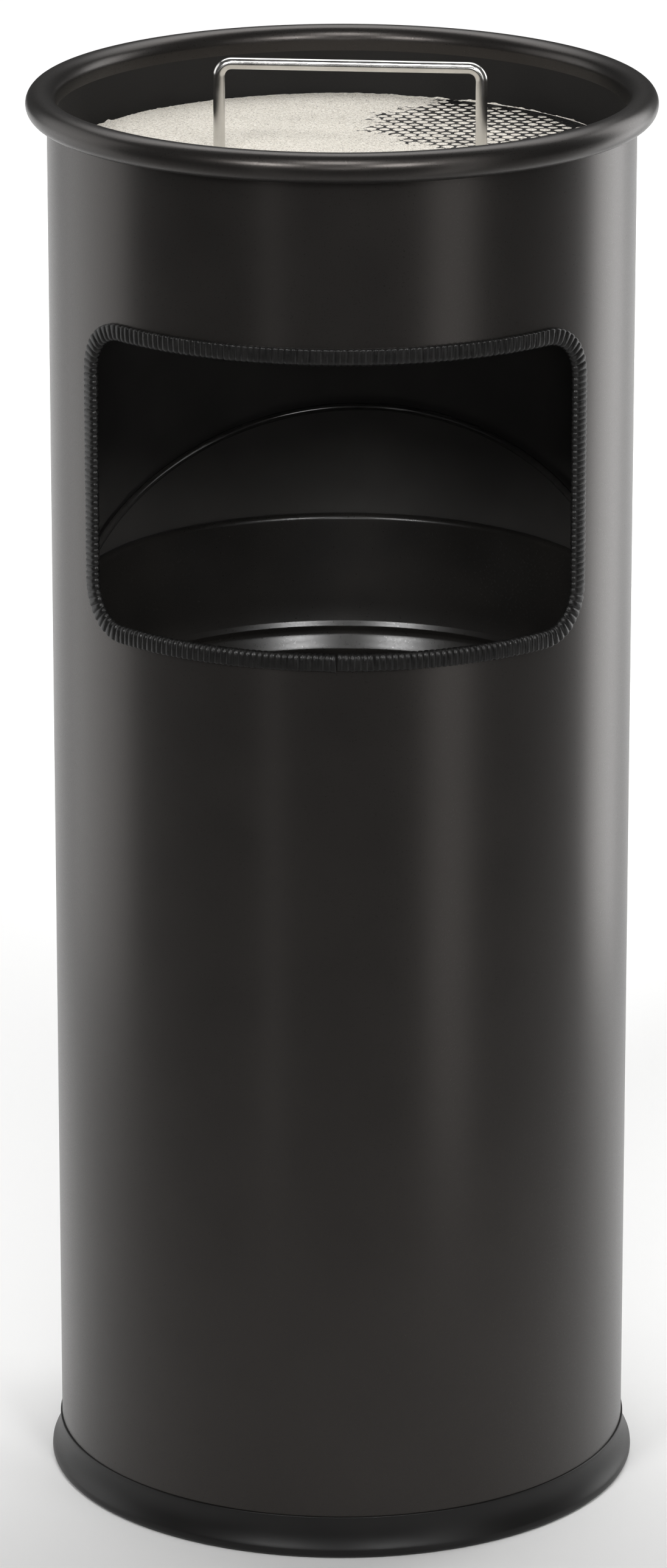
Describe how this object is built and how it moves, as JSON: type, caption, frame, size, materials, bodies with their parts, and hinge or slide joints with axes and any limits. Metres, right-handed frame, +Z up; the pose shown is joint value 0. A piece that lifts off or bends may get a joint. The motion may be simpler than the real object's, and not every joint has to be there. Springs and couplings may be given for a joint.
{
  "type": "standing ashtray bin",
  "caption": "Round standing ashtray and waste bin: black steel tube with a waste window, lift-out sand bowl with sieve and wire handle, inner bucket with bail, flared base ring.",
  "frame": {"origin": "on the floor, at the middle of the base ring", "axes": "+Z up along the tube's axis, -Y to the front where the window is, +X to the right seen from the front"},
  "size_m": [0.268, 0.268, 0.6313],
  "materials": {
    "powder_coat": "fine satin black powder coat",
    "trim_pvc": "soft black PVC, ribbed",
    "base_plastic": "satin black plastic",
    "sand": "fine pale grey sand",
    "dark_steel": "dark steel",
    "zinc_wire": "bright zinc plating",
    "liner_steel": "smooth dark painted steel",
    "bail_wire": "black lacquered wire"
  },
  "bodies": {
    "bin": {"body_tube": "powder_coat", "window_trim": "trim_pvc", "base_ring": "base_plastic", "bottom_plate": "powder_coat"},
    "bowl": {"ash_bowl": "powder_coat", "sand_bed": "sand"},
    "sieve": {"sieve_plate": "dark_steel", "sieve_handle": "zinc_wire", "sand_cover": "sand"},
    "liner": {"liner_shell": "liner_steel", "liner_bottom": "liner_steel", "liner_ear_left": "liner_steel", "liner_ear_right": "liner_steel", "ear_rivets": "zinc_wire"},
    "bail": {"liner_bail": "bail_wire"}
  },
  "joints": [
    {"name": "bowl_lift", "type": "slide", "parent": "bin", "child": "bowl", "axis": [0, 0, 1], "range_m": [0, 0.18]},
    {"name": "sieve_lift", "type": "slide", "parent": "bowl", "child": "sieve", "axis": [0, 0, 1], "range_m": [0, 0.14]},
    {"name": "liner_lift", "type": "slide", "parent": "bin", "child": "liner", "axis": [0, 0, 1], "range_m": [0, 0.04]},
    {"name": "bail_swing", "type": "hinge", "parent": "liner", "child": "bail", "pos_m": [0, 0, 0.376], "axis": [0.9945, -0.1045, 0], "range_deg": [-40, 130]}
  ]
}
